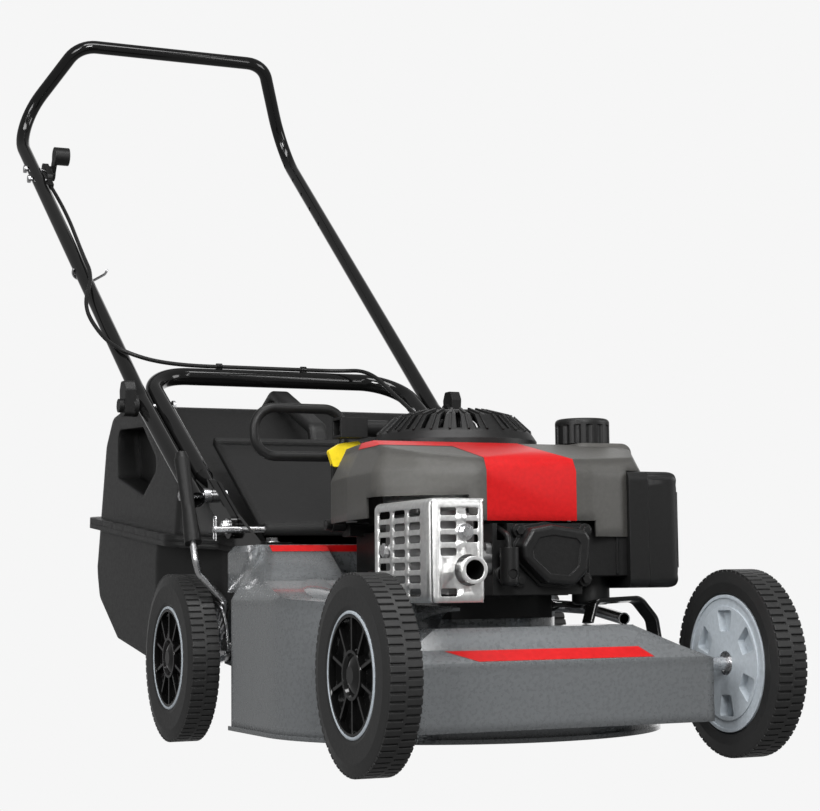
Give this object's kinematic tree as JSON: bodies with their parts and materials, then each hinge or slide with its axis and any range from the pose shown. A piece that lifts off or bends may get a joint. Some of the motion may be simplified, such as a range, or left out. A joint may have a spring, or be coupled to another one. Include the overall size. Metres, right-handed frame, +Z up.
{
  "type": "walk-behind rotary lawn mower",
  "caption": "Petrol rotary lawn mower to walk behind: steel deck, vertical engine, folding tube handle, height lever, and a rigid rear grass catcher under a hinged flap.",
  "frame": {"origin": "on the ground under the middle of the machine's outer box", "axes": "+Z up, -Y is the front, +Y towards the person pushing, +X the machine's left seen from the front"},
  "size_m": [0.5172, 1.6176, 1.126],
  "materials": {
    "black_plastic": "satin",
    "catcher_grey": "grained",
    "chrome": "polished",
    "cover_grey": "satin",
    "deck_grey": "hammered metallic",
    "engine_black": "satin",
    "gloss_black": "gloss",
    "silver": "satin",
    "steel": "plain",
    "tyre_black": "matte",
    "wheel_grey": "satin",
    "zinc": "bright zinc"
  },
  "bodies": {
    "chassis": {"deck": "deck_grey", "handle_brackets": "gloss_black", "height_quadrant": "zinc", "lower_handle": "gloss_black", "cable_lower": "black_plastic", "frame_bolts": "zinc", "engine_block": "engine_black", "rocker_cover": "engine_black", "muffler_body": "silver", "muffler_guard": "silver", "blower_cover": "cover_grey", "recoil_housing": "black_plastic", "fuel_tank": "black_plastic", "air_cleaner_base": "black_plastic", "carburettor": "engine_black", "spark_plug": "silver", "plug_lead": "black_plastic", "front_stay": "gloss_black", "drain_tube": "chrome"},
    "height_lever": {"height_lever": "zinc", "lever_grip": "black_plastic"},
    "rear_axle": {"rear_axle": "zinc", "rear_bearings": "zinc"},
    "front_axle": {"front_axle": "zinc", "front_bearings": "zinc"},
    "front_left_wheel": {"front_left_tyre": "tyre_black", "front_left_rim": "wheel_grey", "front_left_hub_cap": "black_plastic"},
    "front_right_wheel": {"front_right_tyre": "tyre_black", "front_right_rim": "wheel_grey", "front_right_hub_cap": "black_plastic"},
    "rear_left_wheel": {"rear_left_tyre": "tyre_black", "rear_left_rim": "wheel_grey", "rear_left_hub_cap": "black_plastic"},
    "rear_right_wheel": {"rear_right_tyre": "tyre_black", "rear_right_rim": "wheel_grey", "rear_right_hub_cap": "black_plastic"},
    "crank": {"crankshaft": "steel", "flywheel": "silver", "blade_disc": "steel", "blade_bolts": "steel"},
    "blade_1": {"blade_1": "steel"},
    "blade_2": {"blade_2": "steel"},
    "blade_3": {"blade_3": "steel"},
    "blade_4": {"blade_4": "steel"},
    "upper_handle": {"upper_handle": "gloss_black", "throttle_base": "black_plastic", "arm_hardware": "zinc", "cable_upper": "black_plastic"},
    "throttle_lever": {"throttle_lever": "black_plastic"},
    "clamp_knob_left": {"clamp_knob_left": "black_plastic"},
    "clamp_knob_right": {"clamp_knob_right": "black_plastic"},
    "fuel_cap": {"fuel_cap": "black_plastic"},
    "starter_grip": {"starter_grip": "black_plastic", "starter_cord": "black_plastic"},
    "control_lever": {"control_lever": "black_plastic"},
    "air_cleaner_cover": {"air_cleaner_cover": "black_plastic"},
    "catcher": {"catcher_lower": "catcher_grey", "catcher_upper": "catcher_grey"},
    "discharge_flap": {"discharge_flap": "catcher_grey"}
  },
  "joints": [
    {"name": "height_lever_swing", "type": "hinge", "parent": "chassis", "child": "height_lever", "pos_m": [-0.206, -0.19525, 0.118], "axis": [1, 0, 0], "range_deg": [0, 40]},
    {"name": "front_axle_swing", "type": "hinge", "parent": "chassis", "child": "front_axle", "pos_m": [0, -0.66525, 0.1075], "axis": [1, 0, 0], "range_deg": [0, 45]},
    {"name": "rear_axle_swing", "type": "hinge", "parent": "chassis", "child": "rear_axle", "pos_m": [0, -0.18025, 0.11], "axis": [1, 0, 0], "range_deg": [-45, 0]},
    {"name": "front_left_wheel_roll", "type": "hinge", "parent": "front_axle", "child": "front_left_wheel", "pos_m": [0.219, -0.70725, 0.1015], "axis": [1, 0, 0], "continuous": true},
    {"name": "front_right_wheel_roll", "type": "hinge", "parent": "front_axle", "child": "front_right_wheel", "pos_m": [-0.219, -0.70725, 0.1015], "axis": [1, 0, 0], "continuous": true},
    {"name": "rear_left_wheel_roll", "type": "hinge", "parent": "rear_axle", "child": "rear_left_wheel", "pos_m": [0.238, -0.13825, 0.104], "axis": [1, 0, 0], "continuous": true},
    {"name": "rear_right_wheel_roll", "type": "hinge", "parent": "rear_axle", "child": "rear_right_wheel", "pos_m": [-0.238, -0.13825, 0.104], "axis": [1, 0, 0], "continuous": true},
    {"name": "crank_spin", "type": "hinge", "parent": "chassis", "child": "crank", "pos_m": [0, -0.44525, 0.15], "axis": [0, 0, 1], "continuous": true},
    {"name": "blade_1_swing", "type": "hinge", "parent": "crank", "child": "blade_1", "pos_m": [0.09051, -0.35474, 0.048], "axis": [0, 0, 1], "range_deg": [-100, 100]},
    {"name": "blade_2_swing", "type": "hinge", "parent": "crank", "child": "blade_2", "pos_m": [-0.09051, -0.35474, 0.048], "axis": [0, 0, 1], "range_deg": [-100, 100]},
    {"name": "blade_3_swing", "type": "hinge", "parent": "crank", "child": "blade_3", "pos_m": [-0.09051, -0.53576, 0.048], "axis": [0, 0, 1], "range_deg": [-100, 100]},
    {"name": "blade_4_swing", "type": "hinge", "parent": "crank", "child": "blade_4", "pos_m": [0.09051, -0.53576, 0.048], "axis": [0, 0, 1], "range_deg": [-100, 100]},
    {"name": "handle_fold", "type": "hinge", "parent": "chassis", "child": "upper_handle", "pos_m": [0, -0.13525, 0.307], "axis": [1, 0, 0], "range_deg": [0, 140], "deforming": ["cable_upper"]},
    {"name": "throttle_swing", "type": "hinge", "parent": "upper_handle", "child": "throttle_lever", "pos_m": [-0.241, 0.69497, 0.88677], "axis": [1, 0, 0], "range_deg": [-35, 35]},
    {"name": "clamp_knob_left_turn", "type": "hinge", "parent": "chassis", "child": "clamp_knob_left", "pos_m": [0.24, 0.09235, 0.44078], "axis": [1, 0, 0], "continuous": true},
    {"name": "clamp_knob_right_turn", "type": "hinge", "parent": "chassis", "child": "clamp_knob_right", "pos_m": [-0.24, 0.09235, 0.44078], "axis": [1, 0, 0], "continuous": true},
    {"name": "fuel_cap_turn", "type": "hinge", "parent": "chassis", "child": "fuel_cap", "pos_m": [0.14, -0.50225, 0.36], "axis": [0, 0, 1], "range_deg": [0, 180]},
    {"name": "starter_pull", "type": "slide", "parent": "chassis", "child": "starter_grip", "axis": [0, 0.5, 0.866], "range_m": [0, 0.6], "deforming": ["starter_cord"]},
    {"name": "control_lever_swing", "type": "hinge", "parent": "chassis", "child": "control_lever", "pos_m": [-0.119, -0.37225, 0.262], "axis": [1, 0, 0], "range_deg": [-12, 0]},
    {"name": "air_cleaner_cover_tip", "type": "hinge", "parent": "chassis", "child": "air_cleaner_cover", "pos_m": [0.1365, -0.61725, 0.184], "axis": [0, 1, 0], "range_deg": [0, 28]},
    {"name": "catcher_slide", "type": "slide", "parent": "chassis", "child": "catcher", "axis": [0, 1, 0], "range_m": [0, 0.626]},
    {"name": "discharge_flap_swing", "type": "hinge", "parent": "chassis", "child": "discharge_flap", "pos_m": [0, -0.22925, 0.261], "axis": [1, 0, 0], "range_deg": [-75, 0]}
  ],
  "couplings": [
    {"joint": "front_axle_swing", "follows": "height_lever_swing", "ratio": 1.125},
    {"joint": "rear_axle_swing", "follows": "height_lever_swing", "ratio": -1.125},
    {"joint": "discharge_flap_swing", "follows": "catcher_slide", "rad_per_m": -2.089}
  ]
}
